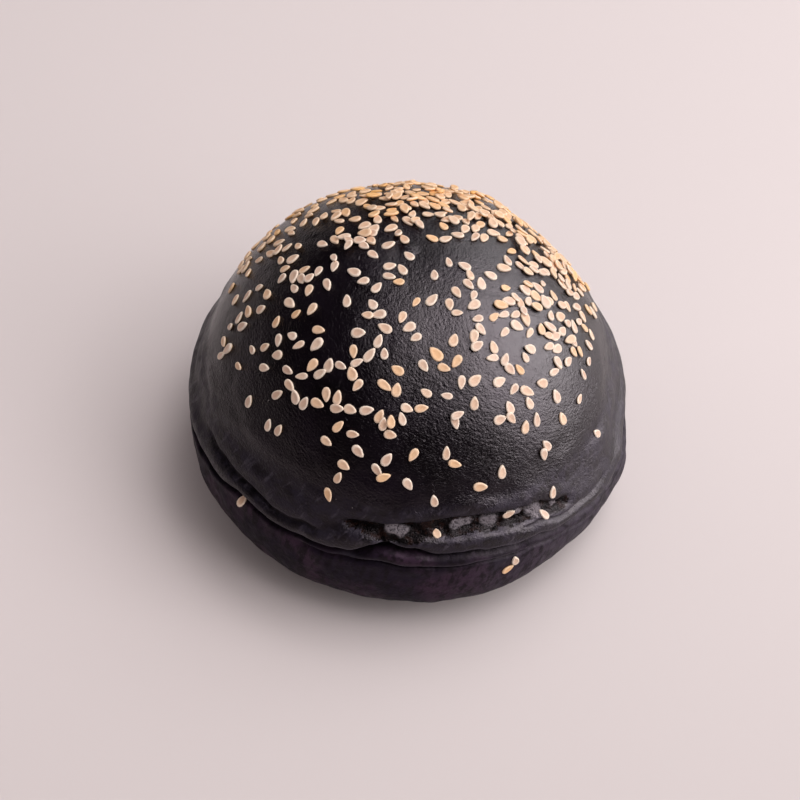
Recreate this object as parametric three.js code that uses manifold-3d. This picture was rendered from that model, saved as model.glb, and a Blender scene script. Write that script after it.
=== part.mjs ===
// Sesame burger bun with a black crust: a tall dome, a deep wandering fold round the side where
// the dome has settled on the heel, a flat base, and sesame seeds stuck to the crown.
//
// Millimetres, +Z up. The origin is the centre of the base, on the surface that the bun stands on.
// Azimuth is measured from +X towards +Y, so the side that is seen first faces -Y, azimuth -90.

import * as THREE from 'three';
import { mergeVertices } from 'three/addons/utils/BufferGeometryUtils.js';
import Module from 'manifold-3d';

// Driving dimensions of the loaf
const MEAN_RADIUS = 50;
const HEIGHT = 65.4;
const WIDEST_LEVEL = 18;
const BASE_CUT = 3; // how far the heel's curve would run on below the flat base
// The profile is a superellipse: one power for the radius, one for the height, 2 and 2 an ellipse
const DOME_POWERS = { radius: 2.3, height: 1.62 };
const HEEL_POWERS = { radius: 2.8, height: 2.8 };
const PLAN_STRETCH = 0.027; // the plan is a slight oval
const PLAN_STRETCH_AZIMUTH = -70;

// Ledge folds. A fold is a line round the bun where the skin was squeezed: a lip that hangs over a
// groove, and a rim below it. Each knot is [azimuth, level of the lip's edge, opening of the groove,
// depth], and a fold runs out where its depth is 0.
const MAIN_FOLD = [
  [-162, 23.6, 1.4, 2.6], [-147, 24.2, 1.4, 2.6], [-137, 25.2, 1.2, 2.3], [-128, 24.6, 0.9, 1.6],
  [-118, 24.9, 0.9, 1.5], [-111, 25.3, 1, 1.9], [-105, 25.7, 1.4, 2.4], [-95, 29.2, 2.4, 3.2],
  [-89, 28.2, 2.2, 3], [-83, 25.9, 0.8, 1.8], [-77, 25.9, 0.8, 1.7], [-70, 25.2, 0.7, 1.5],
  [-60, 24.2, 0.7, 1.2], [-50, 22.4, 0.7, 0.8], [-40, 21, 0.8, 0.7], [-30, 19.6, 0.9, 1.6],
  [-20, 21.6, 1.1, 2.6], [0, 22, 1.2, 2.6], [28, 25.5, 1.4, 3.2], [60, 23, 1.6, 2.6],
  [98, 26.5, 1.8, 3.4], [140, 23.6, 1.3, 2.8], [172, 25, 1.3, 2.8],
];
const MIDDLE_FOLD = [
  [-120, 22.6, 0.8, 0], [-112, 22.8, 0.8, 0.6], [-104, 23.4, 0.8, 0.8], [-97, 23.8, 0.8, 1],
  [-90, 22.9, 0.8, 1.3], [-80, 22.6, 0.8, 1.4], [-70, 22.6, 0.8, 1.2], [-60, 21.6, 0.8, 0.9],
  [-50, 19.6, 0.8, 0.7], [-40, 17.2, 0.9, 0.8], [-32, 15.6, 0.9, 0], [22, 16, 1, 0], [45, 17.5, 1, 0.9],
  [70, 18.5, 1, 0], [148, 18, 1, 0], [165, 18.8, 1, 0.8], [184, 18, 1, 0],
];
const UPPER_FOLD = [
  [-162, 29.5, 0.9, 0], [-152, 29.3, 0.9, 0.5], [-143, 29, 0.9, 0.6], [-134, 28.6, 0.9, 0.8],
  [-124, 28, 0.9, 0.8], [-115, 28.4, 0.9, 0.7], [-108, 29, 0.9, 0], [-66, 28.8, 0.7, 0],
  [-58, 27.2, 0.7, 0.8], [-48, 25, 0.7, 1], [-38, 24, 0.7, 0.8], [-30, 24.4, 0.7, 0], [56, 29.5, 1, 0],
  [72, 31, 1.2, 1.5], [88, 30, 1, 0],
];
const TORN_FOLD = [
  [-109, 31.2, 1.3, 0], [-103, 32, 1.8, 0.9], [-96, 32.6, 2.6, 1.3], [-89, 33.2, 3.4, 1],
  [-86, 33.4, 4, 0.7], [-80, 33.8, 4.2, 1.6], [-72, 33.3, 4, 1.7], [-65, 32.5, 3.7, 1.6],
  [-57, 31.2, 3.2, 1.4], [-50, 29.2, 2.2, 1], [-44, 27.6, 1.5, 0], [104, 32.5, 2, 0],
  [116, 33.5, 3, 1.4], [130, 32, 2, 0],
];
// The thick lip, the sag of that lip and the rim below, as shares of the depth
const FOLDS = [
  { knots: MAIN_FOLD, lip: 0.4, sag: 0.38, rim: 0.1 },
  { knots: MIDDLE_FOLD, lip: 0.5, sag: 0.6, rim: 0.1 },
  { knots: UPPER_FOLD, lip: 0.5, sag: 0.3, rim: 0.35 },
  { knots: TORN_FOLD, lip: 0.25, sag: 0.2, rim: 0.25 },
];
const LIP_RISE = 1.7; // how far the lip's thickest place is above its edge
const LIP_REACH = 1.6;
const SAG_RISE = 0.9; // where it sags most
const SAG_REACH = 1.4;
const RIM_DROP = 1.2; // and how far the rim is below the opening
const RIM_REACH = 1.1;
const LIP_STEP = [-0.3, 0.4]; // from below to above an edge, where the skin steps in and out again
const RIM_STEP = [-0.9, 0.7];

// Soft dents and swellings of the crust: [azimuth, level, reach in mm, height in mm]
const SWELLINGS = [
  [-19, 16, 7, 1.4], [-10, 28, 12, -1.3], [-18, 24, 6, -0.6], [-92, 38, 7, 0.6], [-87, 55, 9, -0.6],
  [-60, 48, 13, 0.4], [-125, 50, 14, 0.5],
  [-73, 61, 7, -0.4], [12, 40, 18, -0.7], [95, 52, 18, -0.7], [45, 48, 14, -0.4], [170, 38, 14, -0.6],
  [75, 30, 10, 0.4], [-150, 13, 12, 0.4], [-98, 12, 12, -0.2], [-50, 9, 10, -0.6], [130, 13, 12, 0.6],
  [40, 11, 12, 0.5],
];

// Facets of the loaf
const SIDES = 84;
const HEEL_RINGS = 5;
const FOLD_RINGS = 18;
const DOME_RINGS = 10;
const FOLD_MIDDLE = 25; // the rings lie close together round this level,
const FOLD_REACH = 11; // this far up and down,
const FOLD_CROWDING = 1.5; // and closest at the lip: the power that spaces them
const FOLD_BAND_FADE = 11; // they follow the main fold's level, less so further from it
const FOLLOW_FROM = 9; // and not at the foot
const HEEL_CROWDING = 1.4; // the heel's rings lie closer at the foot
const BASE_FADE = 4; // up to this level the folds fade in, so that the base stays flat

// Sesame seeds: true size, and how thickly they lie, in seeds for each square millimetre
const SEED = { length: 2.95, width: 1.75, thickness: 0.85, rise: 0.12, taper: 0.3 };
const SEED_SIDES = 6;
const SEED_RINGS = 3;
const SEED_SIZE_SPREAD = 0.15;
const SPARSE_SPACING = 2.2;
const DENSE_SPACING = 1.4;
const CROWDED = [0.1, 0.3]; // densities between which the spacing goes from sparse to dense
const CROWN_DENSITY = 0.085;
const CROWN_EDGE = [36, 55]; // levels between which the sprinkling thins out to nothing
const LOWEST_SEED = 32;
const POLE_MARGIN = 0.02;
const FRONT_SLOPE = [0, 0.73, 0.68]; // below this slanting plane the front's seeds are the hand-placed ones
const FRONT_LIMIT = 13;
const PEAK_DENSITY = 0.65;
// Thicker and thinner patches of the sprinkling: [azimuth, level, reach in mm, seeds for each mm2]
const PATCHES = [
  [92, 62, 9, 0.5], [60, 62, 8, 0.5], [38, 60, 6, 0.3], [20, 55, 8, 0.35], [16, 47, 6, 0.3],
  [60, 53, 12, 0.12], [150, 65, 7, 0.3], [150, 57, 6, 0.06], [162, 48, 5, 0.1], [-160, 47, 5, 0.05],
  [-172, 61, 6, 0.08], [-96, 55, 6, 0.06], [-82, 61, 5, 0.08], [-48, 58, 8, 0.12], [-19, 58, 7, 0.26],
  [-19, 50, 6, 0.22], [-61, 50, 5, 0.05], [-105, 40, 6, 0.03], [-67, 39, 4, 0.03], [-10, 65, 5, -0.05],
  [-106, 64, 5, -0.05], [178, 51, 4, -0.05], [-140, 47, 7, -0.05], [-120, 49, 8, -0.03],
  [-67, 54, 4, -0.03], [-39, 43, 6, -0.03],
];
// Seeds below the sprinkling and low on the front: [azimuth, level, turn in degrees]
const STRAYS = [
  [-64, 19.2, 100], [-65.8, 17.1, 20], [-136, 23.4, 80], [-83.1, 30.4, 110], [-64, 30.8, 10],
  [-55.2, 28, 95], [-51.7, 31.7, 60], [-83.3, 37.7, 95], [-30.5, 33.8, 120], [70, 28, 40], [128, 31, 70],
  [-111, 36, -65], [-109, 40, 75], [-108, 42.5, -20], [-104.5, 45.5, -40], [-98.5, 43, -45],
  [-96.5, 42, 15], [-96, 45, 55], [-88.5, 46, -120], [-90, 41, -60], [-79, 46, 80], [-77, 44, -20],
  [-71, 39, -10], [-64.5, 40.5, 75], [-49.5, 41, 110], [-51.5, 40, -95], [-41, 43, 80],
  [-114.5, 45.5, -20], [-112, 48.5, 60], [-107, 48, 10], [-134.5, 42.5, 100], [-130.5, 43, 80],
  [-145, 43, 100], [-146.5, 49.5, 30], [-125.5, 49.5, 80], [-121, 50.5, 0], [-114, 51, 20],
  [-109.5, 51.5, 0], [-104, 52, 15], [-99.5, 51.5, 70], [-98, 50.5, 80], [-95.5, 51, 80],
  [-92, 51.5, 100], [-95.5, 49, -15], [-90.5, 53, -30], [-85.5, 53, 0], [-75, 50.5, -80],
  [-74, 51.5, 10], [-67.5, 52.5, 80], [-56.5, 50, 85], [-61, 49, 0], [-57.5, 48.5, -70],
  [-49.5, 49, 85], [-49.5, 46, 70], [-54, 46, 60], [-90, 65.38, 100],
];
const FUSED_SEEDS = 220; // how many of the seeds the solid carries, the largest first
const FUSED_SPACING = 3.5; // clear room between them, so that each stays a whole seed
const ROUNDING = 2e-4; // corners nearer than this count as one

const CRUST_COLOUR = 0x17131a;

const wasm = await Module();
wasm.setup();

const radians = (degrees) => degrees * Math.PI / 180;
const wrapDegrees = (angle) => angle - 360 * Math.round(angle / 360);
const bell = (x) => Math.exp(-x * x);

function smoothstep(low, high, x) {
  const t = Math.min(1, Math.max(0, (x - low) / (high - low)));
  return t * t * (3 - 2 * t);
}

// A value round the bun, given at knots [azimuth, values ...]: it eases from each to the next
function around(knots, azimuth, column = 1) {
  const first = knots[0][0];
  const turned = first + ((((azimuth - first) % 360) + 360) % 360);
  const before = knots.findLastIndex((knot) => knot[0] <= turned);
  const after = (before + 1) % knots.length;
  const end = after === 0 ? first + 360 : knots[after][0];
  const share = smoothstep(knots[before][0], end, turned);
  return knots[before][column] + share * (knots[after][column] - knots[before][column]);
}

// Radius of the smooth loaf at a level: two superellipse halves that meet where it is widest
function loafRadius(level) {
  const isDome = level > WIDEST_LEVEL;
  const halfHeight = isDome ? HEIGHT - WIDEST_LEVEL : WIDEST_LEVEL + BASE_CUT;
  const powers = isDome ? DOME_POWERS : HEEL_POWERS;
  const share = Math.min(1, Math.abs(level - WIDEST_LEVEL) / halfHeight);
  return MEAN_RADIUS * (1 - share ** powers.height) ** (1 / powers.radius);
}

// Outward normal of the smooth loaf's profile, as [outwards, up]
function loafNormal(level) {
  const step = 0.05;
  const low = Math.max(0, level - step);
  const high = Math.min(HEIGHT, level + step);
  const slope = (loafRadius(high) - loafRadius(low)) / (high - low);
  const length = Math.hypot(1, slope);
  return [1 / length, -slope / length];
}

// Outward and downward shift of the crust by one fold: a groove between a smooth step down at the
// lip and one up at the rim, and bells for the lip, the rim and the sag
function foldShift({ knots, lip, sag, rim }, azimuth, level) {
  const above = level - around(knots, azimuth);
  const opening = around(knots, azimuth, 2);
  const depth = around(knots, azimuth, 3);
  const groove = (1 - smoothstep(...LIP_STEP, above)) * smoothstep(...RIM_STEP, above + opening);
  const lipPush = lip * bell((above - LIP_RISE) / LIP_REACH);
  const rimPush = rim * bell((above + opening + RIM_DROP) / RIM_REACH);
  return [depth * (lipPush + rimPush - groove), depth * sag * bell((above - SAG_RISE) / SAG_REACH)];
}

// The oval of the plan, as a factor on the radius
const planFactor = (azimuth) => 1 + PLAN_STRETCH * Math.cos(2 * radians(azimuth - PLAN_STRETCH_AZIMUTH));

// Height of the soft dents and swellings at a place on the crust
function swelling(azimuth, level) {
  const radius = loafRadius(level);
  return SWELLINGS.reduce((sum, [centre, height, reach, rise]) => {
    const across = radius * radians(wrapDegrees(azimuth - centre));
    return sum + rise * bell(Math.hypot(across, level - height) / reach);
  }, 0);
}

// A point of the crust, from its azimuth in degrees and its level on the smooth loaf
function crustPoint(azimuth, level) {
  const [outwards, up] = loafNormal(level);
  let push = swelling(azimuth, level);
  let drop = 0;
  for (const fold of FOLDS) {
    const [foldPush, foldDrop] = foldShift(fold, azimuth, level);
    push += foldPush;
    drop += foldDrop;
  }
  const fade = smoothstep(0, BASE_FADE, level);
  const radius = loafRadius(level) * planFactor(azimuth) + push * outwards * fade;
  const angle = radians(azimuth);
  const height = Math.max(0, level + (push * up - drop) * fade);
  return new THREE.Vector3(radius * Math.cos(angle), radius * Math.sin(angle), height);
}

// Outward normal of the crust at a place, from its slopes both ways
function crustNormal(azimuth, level) {
  const step = 0.6;
  const along = crustPoint(azimuth + step, level).sub(crustPoint(azimuth - step, level));
  const upwards = crustPoint(azimuth, level + step).sub(crustPoint(azimuth, level - step));
  return along.cross(upwards).normalize();
}

// Levels of the rings, from the base's edge to just under the pole
function ringLevels() {
  const levels = [];
  const low = FOLD_MIDDLE - FOLD_REACH;
  const high = FOLD_MIDDLE + FOLD_REACH;
  for (let i = 0; i < HEEL_RINGS; i += 1) levels.push(low * (i / HEEL_RINGS) ** HEEL_CROWDING);
  for (let i = 0; i < FOLD_RINGS; i += 1) {
    const share = 2 * i / FOLD_RINGS - 1;
    levels.push(FOLD_MIDDLE + FOLD_REACH * Math.sign(share) * Math.abs(share) ** FOLD_CROWDING);
  }
  for (let i = 0; i < DOME_RINGS; i += 1) {
    const share = Math.sin(0.5 * Math.PI * i / DOME_RINGS);
    levels.push(high + (HEIGHT - high) * share);
  }
  return levels;
}

// Closed mesh of the loaf: rings of points from the base's centre to the pole
function loafGeometry() {
  const positions = [0, 0, 0];
  const levels = ringLevels();
  for (const nominal of levels) {
    for (let i = 0; i < SIDES; i += 1) {
      const azimuth = 360 * i / SIDES;
      const rise = around(MAIN_FOLD, azimuth) - FOLD_MIDDLE;
      const follow = bell((nominal - FOLD_MIDDLE) / FOLD_BAND_FADE) * Math.min(1, nominal / FOLLOW_FROM);
      const level = nominal + rise * follow;
      positions.push(...crustPoint(azimuth, level).toArray());
    }
  }
  positions.push(0, 0, HEIGHT + swelling(0, HEIGHT));
  const index = [];
  const pole = positions.length / 3 - 1;
  for (let i = 0; i < SIDES; i += 1) {
    const next = (i + 1) % SIDES;
    index.push(0, 1 + next, 1 + i);
    for (let ring = 0; ring + 1 < levels.length; ring += 1) {
      const low = 1 + ring * SIDES;
      const high = low + SIDES;
      index.push(low + i, low + next, high + next, low + i, high + next, high + i);
    }
    const last = 1 + (levels.length - 1) * SIDES;
    index.push(last + i, last + next, pole);
  }
  const geometry = new THREE.BufferGeometry();
  geometry.setAttribute('position', new THREE.Float32BufferAttribute(positions, 3));
  geometry.setIndex(index);
  return geometry;
}

// A repeatable draw from 0 to 1, for a count and a purpose
function draw(count, purpose) {
  const wave = Math.sin(count * 12.9898 + purpose * 78.233) * 43758.5453;
  return wave - Math.floor(wave);
}

// Seeds for each square millimetre at a place on the crust
function sprinkling(point, level) {
  if (point.dot(new THREE.Vector3(...FRONT_SLOPE)) < FRONT_LIMIT) return 0;
  return PATCHES.reduce((sum, [azimuth, height, reach, extra]) => {
    const centre = crustPoint(azimuth, height);
    return sum + extra * bell(centre.distanceTo(point) / reach);
  }, CROWN_DENSITY * smoothstep(...CROWN_EDGE, level));
}

// The whole sprinkling: darts thrown evenly at the crown, kept as often as the density says
function sprinkle() {
  const seeds = STRAYS.map(([azimuth, level, turn]) => ({
    azimuth, level, turn, size: 1, point: crustPoint(azimuth, level),
  }));
  const crownArea = 2 * Math.PI * MEAN_RADIUS * (HEIGHT - LOWEST_SEED);
  const throws = Math.round(PEAK_DENSITY * crownArea);
  for (let k = 0; k < throws; k += 1) {
    const azimuth = 360 * draw(k, 1);
    const level = LOWEST_SEED + (HEIGHT - POLE_MARGIN - LOWEST_SEED) * draw(k, 2);
    const point = crustPoint(azimuth, level);
    const density = sprinkling(point, level);
    if (draw(k, 3) * PEAK_DENSITY > density) continue;
    const room = SPARSE_SPACING + (DENSE_SPACING - SPARSE_SPACING) * smoothstep(...CROWDED, density);
    if (seeds.some((seed) => seed.point.distanceTo(point) < room)) continue;
    const size = 1 + SEED_SIZE_SPREAD * (2 * draw(k, 5) - 1);
    seeds.push({ azimuth, level, turn: 360 * draw(k, 4), size, point });
  }
  return seeds;
}

// One seed, flat on the crust: a faceted teardrop, its length along X and its pointed end at +X
function seedGeometry({ azimuth, level, turn, size, point }) {
  const geometry = new THREE.SphereGeometry(1, SEED_SIDES, SEED_RINGS);
  const place = geometry.getAttribute('position');
  for (let i = 0; i < place.count; i += 1) {
    const along = place.getY(i);
    const narrow = 1 - SEED.taper * along;
    place.setXYZ(i, along * SEED.length / 2, place.getX(i) * narrow * SEED.width / 2,
      place.getZ(i) * narrow * SEED.thickness / 2);
  }
  const normal = crustNormal(azimuth, level);
  const pose = new THREE.Quaternion().setFromUnitVectors(new THREE.Vector3(0, 0, 1), normal);
  pose.multiply(new THREE.Quaternion().setFromAxisAngle(new THREE.Vector3(0, 0, 1), radians(turn)));
  const centre = point.clone().addScaledVector(normal, SEED.rise);
  geometry.applyMatrix4(new THREE.Matrix4().compose(centre, pose, new THREE.Vector3(size, size, size)));
  return geometry;
}

// A closed geometry as a solid for cutting and joining
function toSolid(geometry) {
  const bare = geometry.clone();
  bare.deleteAttribute('normal');
  bare.deleteAttribute('uv');
  const merged = mergeVertices(bare, 1e-4);
  const vertProperties = new Float32Array(merged.getAttribute('position').array);
  const triVerts = new Uint32Array(merged.getIndex().array);
  return new wasm.Manifold(new wasm.Mesh({ numProp: 3, vertProperties, triVerts }));
}

// A solid back as a geometry, without any loose scrap or sealed hollow that joining made
function toGeometry(solid) {
  const whole = solid.decompose().reduce((best, piece) => (piece.volume() > best.volume() ? piece : best));
  const mesh = whole.getMesh();
  const geometry = new THREE.BufferGeometry();
  geometry.setAttribute('position', new THREE.BufferAttribute(mesh.vertProperties, 3));
  geometry.setIndex(new THREE.BufferAttribute(mesh.triVerts, 1));
  geometry.computeVertexNormals();
  return geometry;
}

// Whether joining left a pinched edge, one with other than two faces once corners are rounded off
function isPinched(solid) {
  const { vertProperties, triVerts } = solid.getMesh();
  const corners = new Map();
  const cornerOf = (vertex) => {
    const place = vertProperties.subarray(3 * vertex, 3 * vertex + 3);
    const name = Array.from(place, (value) => Math.round(value / ROUNDING)).join();
    if (!corners.has(name)) corners.set(name, corners.size);
    return corners.get(name);
  };
  const corner = Array.from({ length: vertProperties.length / 3 }, (_, vertex) => cornerOf(vertex));
  const faces = new Map();
  for (let i = 0; i < triVerts.length; i += 3) {
    const ends = [0, 1, 2].map((k) => corner[triVerts[i + k]]);
    if (new Set(ends).size < 3) continue;
    for (let k = 0; k < 3; k += 1) {
      const [low, high] = [ends[k], ends[(k + 1) % 3]].sort((a, b) => a - b);
      const edge = low * corner.length + high;
      faces.set(edge, (faces.get(edge) ?? 0) + 1);
    }
  }
  return [...faces.values()].some((count) => count !== 2);
}

// The bun: the loaf with seeds joined on, whole ones and clear of each other
function makeBun() {
  let solid = toSolid(loafGeometry());
  const fused = [];
  const largestFirst = sprinkle().sort((a, b) => b.size - a.size);
  for (const seed of largestFirst) {
    if (fused.length === FUSED_SEEDS) break;
    if (fused.some((other) => other.point.distanceTo(seed.point) < FUSED_SPACING)) continue;
    const joined = solid.add(toSolid(seedGeometry(seed)));
    if (isPinched(joined)) continue;
    solid = joined;
    fused.push(seed);
  }
  const crust = new THREE.MeshStandardMaterial({ color: CRUST_COLOUR, roughness: 0.45, metalness: 0 });
  const bun = new THREE.Mesh(toGeometry(solid), crust);
  bun.name = 'bun';
  return bun;
}

const model = new THREE.Group();
model.add(makeBun());

export default model;
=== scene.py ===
# %% [markdown]
# # A black sesame burger bun
#
# The real object is one baked bun: a tall dome that has settled over its heel, so that a deep fold runs
# round its side, with a near-black glazed crust and white sesame seeds stuck to the crown. Everything
# here is worked out in millimetres, because a baker would measure a bun that way, and is turned into
# metres only when a mesh is filled.

# %% Load the frame
import bpy
import numpy as np
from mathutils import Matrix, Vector


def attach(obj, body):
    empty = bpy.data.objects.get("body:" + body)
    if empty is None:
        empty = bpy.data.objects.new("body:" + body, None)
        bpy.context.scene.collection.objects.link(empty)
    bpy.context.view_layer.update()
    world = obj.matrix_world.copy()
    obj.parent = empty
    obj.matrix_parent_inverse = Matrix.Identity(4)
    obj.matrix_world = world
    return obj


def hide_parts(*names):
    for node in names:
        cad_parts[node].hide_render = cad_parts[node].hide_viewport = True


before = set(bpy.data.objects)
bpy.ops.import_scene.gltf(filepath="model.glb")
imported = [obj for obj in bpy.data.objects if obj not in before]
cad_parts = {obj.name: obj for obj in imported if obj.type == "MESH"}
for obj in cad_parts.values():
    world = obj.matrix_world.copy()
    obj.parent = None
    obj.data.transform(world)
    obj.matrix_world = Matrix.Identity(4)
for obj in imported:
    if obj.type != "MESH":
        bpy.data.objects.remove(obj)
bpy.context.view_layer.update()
MM = 0.001

# %% [markdown]
# ## Small helpers
#
# A bun has no straight lines, so most of its shape is made from two soft curves: a bell, for a swelling
# or a groove, and a smooth step, for a change from one surface to the next. Both take whole arrays.


# %% Soft curves and angles
def bell(x):
    """exp(-x^2): 1 in the middle, 0.37 one width away, nearly 0 at two."""
    return np.exp(-x * x)


def smooth_step(low, high, x):
    """0 below low, 1 above high, and an S-shaped cubic between them."""
    t = np.clip((x - low) / (high - low), 0, 1)
    return t * t * (3 - 2 * t)


def wrap_degrees(angle):
    """The same angle between -180 and 180 degrees."""
    return angle - 360 * np.round(angle / 360)


def around(knots, azimuth, column=1):
    """A value round the bun: it eases from each knot (azimuth, values ...) to the next by a smooth step."""
    places = np.array([knot[0] for knot in knots] + [knots[0][0] + 360], float)
    values = np.array([knot[column] for knot in knots] + [knots[0][column]], float)
    turned = places[0] + (azimuth - places[0]) % 360
    before = np.clip(np.searchsorted(places, turned, side="right") - 1, 0, len(knots) - 1)
    share = smooth_step(places[before], places[before + 1], turned)
    return values[before] + share * (values[before + 1] - values[before])


def draw(count, purpose):
    """A repeatable draw from 0 to 1: the broken-off part of a large sine."""
    wave = np.sin(count * 12.9898 + purpose * 78.233) * 43758.5453
    return wave - np.floor(wave)


print("helpers ready")

# %% [markdown]
# ## Soft noise
#
# Baked crust is uneven at every scale. Random values sit on a lattice of points in space, and between
# them the value is blended smoothly, so neighbours agree and nothing repeats round the bun. It is read in
# three dimensions at the place on the loaf, so that there is no seam and no pinch at the crown.


# %% Noise in space
def soft_noise(points, wavelength, seed):
    """Value noise from -1 to 1: lattice draws, blended with smooth steps along the three axes."""
    cell = points / wavelength + 50
    corner = np.floor(cell)
    part = cell - corner
    part = part * part * (3 - 2 * part)
    total = np.zeros(points.shape[:-1])
    for i in (0, 1):
        for j in (0, 1):
            for k in (0, 1):
                number = (corner[..., 0] + i) * 127.1 + (corner[..., 1] + j) * 311.7
                number = number + (corner[..., 2] + k) * 74.7
                weight = np.abs(1 - i - part[..., 0]) * np.abs(1 - j - part[..., 1])
                weight = weight * np.abs(1 - k - part[..., 2])
                total += weight * draw(number, seed)
    return 2 * total - 1


def layered_noise(points, layers):
    """Sum of soft noises, each layer given as (height, wavelength, seed)."""
    return sum(height * soft_noise(points, wavelength, seed) for height, wavelength, seed in layers)


print("soft noise at three points:", soft_noise(np.eye(3) * 7, 5, 1).round(2))

# %% [markdown]
# ## The loaf's smooth profile
#
# Seen from the side, the bun is two superellipse halves that meet at its widest level. A superellipse
# with powers under 2 leaves the upright early, and one with powers over 2 is boxy, which is how the heel
# stands on the tray. The plan is a slight oval.

# %% Loaf dimensions
MEAN_RADIUS = 50
HEIGHT = 65.4
WIDEST_LEVEL = 18
BASE_CUT = 3
DOME_POWERS = {"radius": 2.3, "height": 1.62}
HEEL_POWERS = {"radius": 2.8, "height": 2.8}
PLAN_STRETCH = 0.027
PLAN_STRETCH_AZIMUTH = -70
SLOPE_STEP = 0.05  # half the height over which the profile's slope is taken


def loaf_radius(level):
    """R (1 - s^b)^(1/a), with s the share of the half height: one pair of powers above, one below."""
    dome = np.clip((level - WIDEST_LEVEL) / (HEIGHT - WIDEST_LEVEL), 0, 1)
    heel = np.clip((WIDEST_LEVEL - level) / (WIDEST_LEVEL + BASE_CUT), 0, 1)
    upper = (1 - dome ** DOME_POWERS["height"]) ** (1 / DOME_POWERS["radius"])
    lower = (1 - heel ** HEEL_POWERS["height"]) ** (1 / HEEL_POWERS["radius"])
    return MEAN_RADIUS * np.where(level > WIDEST_LEVEL, upper, lower)


def loaf_normal(level):
    """Outward and upward parts of the profile's normal, from the slope of the radius."""
    low = np.maximum(0, level - SLOPE_STEP)
    high = np.minimum(HEIGHT, level + SLOPE_STEP)
    slope = (loaf_radius(high) - loaf_radius(low)) / (high - low)
    length = np.hypot(1, slope)
    return 1 / length, -slope / length


def plan_factor(azimuth):
    """1 + e cos 2(azimuth - direction): the oval of the plan."""
    return 1 + PLAN_STRETCH * np.cos(2 * np.radians(azimuth - PLAN_STRETCH_AZIMUTH))


print("radius at levels 0, 18, 40, 60:", loaf_radius(np.array([0, 18, 40, 60])).round(1))

# %% [markdown]
# ## Ledge folds
#
# While it baked, the dome sagged over the heel and the skin folded there. Cut across, a fold is a lip
# that hangs over a groove, and under the groove stands a rim. So a fold is a line round the bun, given by
# a few knots where it turns: azimuth, level of the lip's edge, how wide the groove opens and how deep it
# is. Where the depth is 0 the fold has run out. One formula makes all of them.

# %% The folds: each knot is (azimuth, level, opening, depth)
MAIN_FOLD = [(-162, 23.6, 1.4, 2.6), (-147, 24.2, 1.4, 2.6), (-137, 25.2, 1.2, 2.3), (-128, 24.6, 0.9, 1.6),
             (-118, 24.9, 0.9, 1.5), (-111, 25.3, 1.0, 1.9), (-105, 25.7, 1.4, 2.4), (-95, 29.2, 2.4, 3.2),
             (-89, 28.2, 2.2, 3.0), (-83, 25.9, 0.8, 1.8), (-77, 25.9, 0.8, 1.7), (-70, 25.2, 0.7, 1.5),
             (-60, 24.2, 0.7, 1.2), (-50, 22.4, 0.7, 0.8), (-40, 21.0, 0.8, 0.7), (-30, 19.6, 0.9, 1.6),
             (-20, 21.6, 1.1, 2.6), (0, 22.0, 1.2, 2.6), (28, 25.5, 1.4, 3.2), (60, 23.0, 1.6, 2.6),
             (98, 26.5, 1.8, 3.4), (140, 23.6, 1.3, 2.8), (172, 25.0, 1.3, 2.8)]
MIDDLE_FOLD = [(-120, 22.6, 0.8, 0), (-112, 22.8, 0.8, 0.6), (-104, 23.4, 0.8, 0.8), (-97, 23.8, 0.8, 1.0),
               (-90, 22.9, 0.8, 1.3), (-80, 22.6, 0.8, 1.4), (-70, 22.6, 0.8, 1.2), (-60, 21.6, 0.8, 0.9),
               (-50, 19.6, 0.8, 0.7), (-40, 17.2, 0.9, 0.8), (-32, 15.6, 0.9, 0), (22, 16.0, 1.0, 0),
               (45, 17.5, 1.0, 0.9), (70, 18.5, 1.0, 0), (148, 18.0, 1.0, 0), (165, 18.8, 1.0, 0.8),
               (184, 18.0, 1.0, 0)]
UPPER_FOLD = [(-162, 29.5, 0.9, 0), (-152, 29.3, 0.9, 0.5), (-143, 29.0, 0.9, 0.6), (-134, 28.6, 0.9, 0.8),
              (-124, 28.0, 0.9, 0.8), (-115, 28.4, 0.9, 0.7), (-108, 29.0, 0.9, 0), (-66, 28.8, 0.7, 0),
              (-58, 27.2, 0.7, 0.8), (-48, 25.0, 0.7, 1.0), (-38, 24.0, 0.7, 0.8), (-30, 24.4, 0.7, 0),
              (56, 29.5, 1.0, 0), (72, 31.0, 1.2, 1.5), (88, 30.0, 1.0, 0)]
TORN_FOLD = [(-109, 31.2, 1.3, 0), (-103, 32.0, 1.8, 0.9), (-96, 32.6, 2.6, 1.3), (-89, 33.2, 3.4, 1.0),
             (-86, 33.4, 4.0, 0.7), (-80, 33.8, 4.2, 1.6), (-72, 33.3, 4.0, 1.7), (-65, 32.5, 3.7, 1.6),
             (-57, 31.2, 3.2, 1.4), (-50, 29.2, 2.2, 1.0), (-44, 27.6, 1.5, 0), (104, 32.5, 2.0, 0),
             (116, 33.5, 3.0, 1.4), (130, 32.0, 2.0, 0)]
# How much of its depth each fold has as a thick lip, as a sag of that lip and as a rim below
MAIN_SHAPE = {"lip": 0.4, "sag": 0.38, "rim": 0.1}
MIDDLE_SHAPE = {"lip": 0.5, "sag": 0.6, "rim": 0.1}
UPPER_SHAPE = {"lip": 0.5, "sag": 0.3, "rim": 0.35}
TORN_SHAPE = {"lip": 0.25, "sag": 0.2, "rim": 0.25}
FOLDS = [(MAIN_FOLD, MAIN_SHAPE), (MIDDLE_FOLD, MIDDLE_SHAPE),
         (UPPER_FOLD, UPPER_SHAPE), (TORN_FOLD, TORN_SHAPE)]
LIP_RISE = 1.7  # how far the lip's thickest place is above its edge
LIP_REACH = 1.6
SAG_RISE = 0.9  # where it sags most
SAG_REACH = 1.4
RIM_DROP = 1.2  # and how far the rim is below the opening
RIM_REACH = 1.1
LIP_STEP = (-0.3, 0.4)  # from below to above an edge, where the skin steps in and out again
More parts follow.
